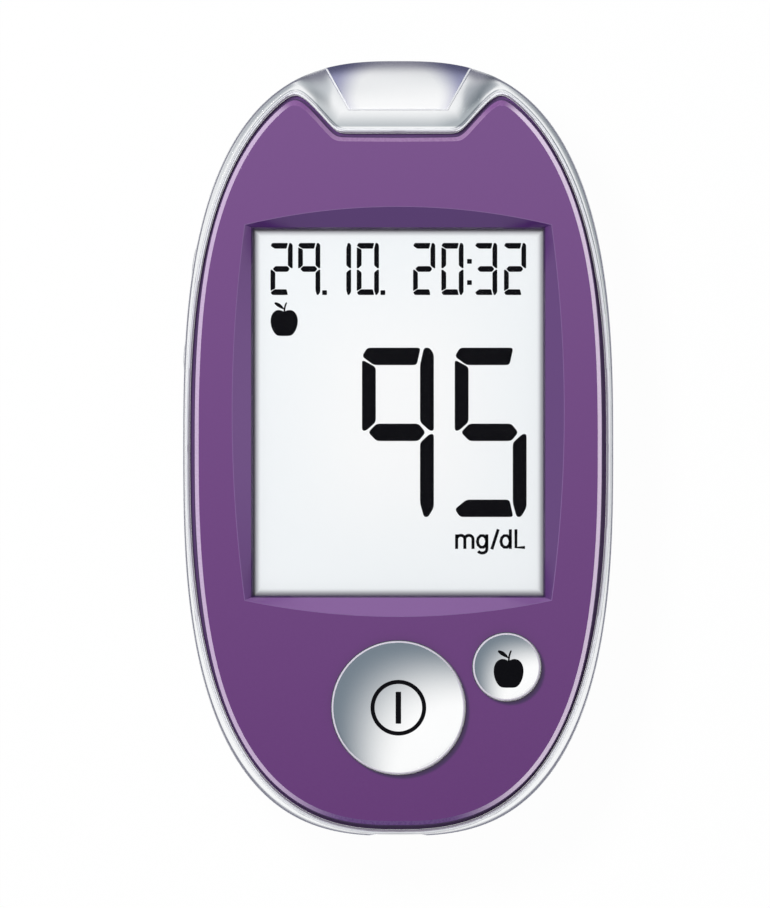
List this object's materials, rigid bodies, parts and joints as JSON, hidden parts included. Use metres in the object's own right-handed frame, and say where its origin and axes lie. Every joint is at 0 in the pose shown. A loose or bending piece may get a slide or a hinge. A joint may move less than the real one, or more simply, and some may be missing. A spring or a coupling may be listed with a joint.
{
  "type": "blood glucose meter",
  "caption": "Handheld oval meter with a display, two dished buttons, a side key, a strip slot, a sliding battery door and a pull-off port cap.",
  "frame": {"origin": "middle of the rest surface, below the middle of the case", "axes": "+Z out of the display face, +Y to the top end, +X to the right of the face"},
  "size_m": [0.0544, 0.0979, 0.02],
  "materials": {
    "silver_shell": "metallic silver lacquer, satin gloss",
    "purple_panel": "polished moulded plastic",
    "clear_lens": "clear acrylic",
    "lcd_glass": "pale display glass with black segments",
    "reflector_film": "white film",
    "dark_plastic": "moulded black",
    "zebra_rubber": "striped conductive rubber",
    "circuit_board": "solder mask with copper tracks",
    "chip_epoxy": "moulded epoxy",
    "plated_steel": "nickel plate",
    "silver_key": "metallic silver lacquer",
    "spring_steel": "drawn wire",
    "silver_back": "metallic silver, fine grain",
    "cell_can": "printed sleeve with a bare cap",
    "ivory_plastic": "moulded ivory",
    "gold_contact": "gold plate",
    "grey_plastic": "moulded grey"
  },
  "bodies": {
    "case": {"front_housing": "silver_shell", "front_panel": "purple_panel", "display_lens": "clear_lens", "lcd_cell": "lcd_glass", "lcd_reflector": "reflector_film", "lcd_frame": "dark_plastic", "zebra_strip": "zebra_rubber", "main_board": "circuit_board", "microcontroller": "chip_epoxy", "buzzer": "chip_epoxy", "board_parts": "chip_epoxy", "board_screws": "plated_steel", "power_dome": "spring_steel", "mark_dome": "spring_steel", "rocker_pin": "plated_steel", "side_switches": "dark_plastic", "back_cover": "silver_back", "battery_left": "cell_can", "battery_right": "cell_can", "battery_springs": "spring_steel", "battery_plates": "plated_steel", "strip_connector": "ivory_plastic", "strip_contacts": "gold_contact", "ejector_spring": "spring_steel", "data_port": "plated_steel", "case_screws": "plated_steel"},
    "power_key": {"power_button": "silver_key"},
    "mark_key": {"mark_button": "silver_key"},
    "side_key": {"side_rocker": "silver_shell"},
    "door": {"battery_door": "silver_back"},
    "ejector": {"ejector_slider": "grey_plastic"},
    "cap": {"port_cap": "silver_shell"}
  },
  "joints": [
    {"name": "power_press", "type": "slide", "parent": "case", "child": "power_key", "axis": [0, 0, -1], "range_m": [0, 0.0005], "stiffness_N_per_m": 1500, "deforming": ["power_dome"]},
    {"name": "mark_press", "type": "slide", "parent": "case", "child": "mark_key", "axis": [0, 0, -1], "range_m": [0, 0.0005], "stiffness_N_per_m": 1500, "deforming": ["mark_dome"]},
    {"name": "rocker_tilt", "type": "hinge", "parent": "case", "child": "side_key", "pos_m": [-0.02428, 0.01778, 0.0136], "axis": [0, 0, 1], "range_deg": [-2.5, 2.5], "stiffness_Nm_per_rad": 0.05},
    {"name": "door_slide", "type": "slide", "parent": "case", "child": "door", "axis": [0, 1, 0], "range_m": [0, 0.055]},
    {"name": "eject_slide", "type": "slide", "parent": "case", "child": "ejector", "axis": [0, -1, 0], "range_m": [0, 0.005], "stiffness_N_per_m": 60, "deforming": ["ejector_spring"]},
    {"name": "cap_pull", "type": "slide", "parent": "case", "child": "cap", "axis": [0, 1, 0], "range_m": [0, 0.01]}
  ]
}
